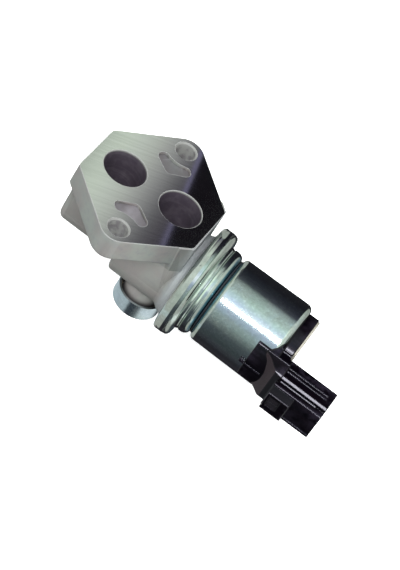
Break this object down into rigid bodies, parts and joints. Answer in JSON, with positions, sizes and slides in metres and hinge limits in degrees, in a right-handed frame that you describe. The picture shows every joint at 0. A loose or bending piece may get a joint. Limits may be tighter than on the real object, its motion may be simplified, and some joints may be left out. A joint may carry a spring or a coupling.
{
  "type": "idle air control valve",
  "caption": "Solenoid idle air control valve: cast housing with a flanged, ported mounting face, clamped solenoid can and side socket for its electrical plug.",
  "frame": {"origin": "centre of the mounting face, midway between the bolt holes and between the air ports", "axes": "+Z is the outward normal of the mounting face, +X runs along the solenoid from the housing to the electrical end, the electrical socket is on the -Y side"},
  "size_m": [0.1315, 0.0714, 0.0543],
  "materials": {
    "cast_aluminium": "as cast, satin, with a milled mounting face",
    "plated_steel": "zinc plated, semi-bright",
    "machined_steel": "ground",
    "spring_steel": "oil tempered",
    "stainless_tube": "drawn, satin",
    "bearing_bronze": "sintered",
    "seat_brass": "turned",
    "enamelled_copper": "enamelled wire",
    "tinned_brass": "tin plated",
    "valve_aluminium": "turned",
    "seal_rubber": "matte",
    "black_plastic": "moulded, slight gloss",
    "bobbin_plastic": "moulded",
    "fibre_board": "pale, matte",
    "filter_felt": "felted"
  },
  "bodies": {
    "valve_body": {"housing": "cast_aluminium", "valve_seat": "seat_brass", "front_bush": "bearing_bronze", "guide_bush": "bearing_bronze", "return_spring": "spring_steel", "joint_seal": "seal_rubber", "front_plate": "plated_steel", "spacer_cup": "plated_steel", "collar_ring": "plated_steel", "can_seal": "seal_rubber", "guide_sleeve": "stainless_tube", "solenoid_can": "plated_steel", "coil_bobbin": "bobbin_plastic", "coil_winding": "enamelled_copper", "rear_yoke_plate": "plated_steel", "pole_core": "machined_steel", "stop_shim": "seat_brass", "connector_body": "black_plastic", "terminal_pins": "tinned_brass", "end_cover_disc": "fibre_board", "vent_cap": "plated_steel", "vent_filter": "filter_felt"},
    "plunger": {"valve_shaft": "machined_steel", "poppet_valve": "valve_aluminium", "retaining_ring": "spring_steel", "armature": "machined_steel"}
  },
  "joints": [
    {"name": "plunger_slide", "type": "slide", "parent": "valve_body", "child": "plunger", "axis": [1, 0, 0], "range_m": [0, 0.004], "stiffness_N_per_m": 600, "springref_m": -0.005, "deforming": ["return_spring"]}
  ]
}
